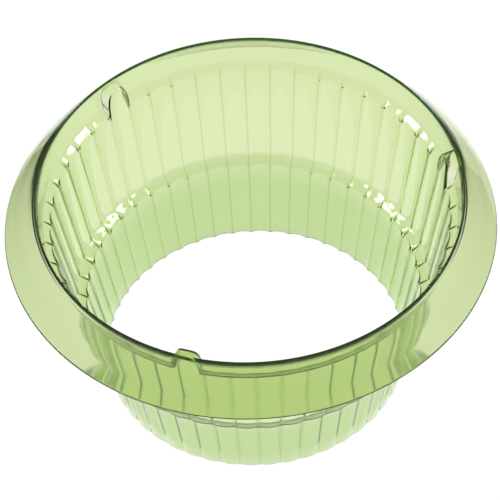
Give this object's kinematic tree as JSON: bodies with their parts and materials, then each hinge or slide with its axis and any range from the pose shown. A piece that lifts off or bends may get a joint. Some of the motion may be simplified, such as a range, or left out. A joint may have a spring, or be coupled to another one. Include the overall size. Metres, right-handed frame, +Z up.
{
  "type": "slug guard collar",
  "caption": "Open see-through green plastic ring that is pressed into soil round a seedling; a sloping outer skirt under its rim stops slugs, and stepped fluted walls let collars nest.",
  "frame": {"origin": "on the ground plane, at the centre of the ring's open bottom edge", "axes": "+Z up along the ring's axis, from the small open bottom to the rim; +X to the right and +Y away from the viewer as seen from the front"},
  "size_m": [0.297, 0.297, 0.145],
  "materials": {
    "green_plastic": "glossy, see-through light green"
  },
  "bodies": {
    "root": {"skirt": "green_plastic", "rim": "green_plastic", "upper_shoulder": "green_plastic", "upper_fluted_wall": "green_plastic", "middle_shoulder": "green_plastic", "lower_fluted_wall": "green_plastic", "neck_band_1": "green_plastic", "neck_band_2": "green_plastic", "neck_band_3": "green_plastic", "stacking_lug_1": "green_plastic", "stacking_lug_2": "green_plastic", "stacking_lug_3": "green_plastic"}
  },
  "joints": []
}
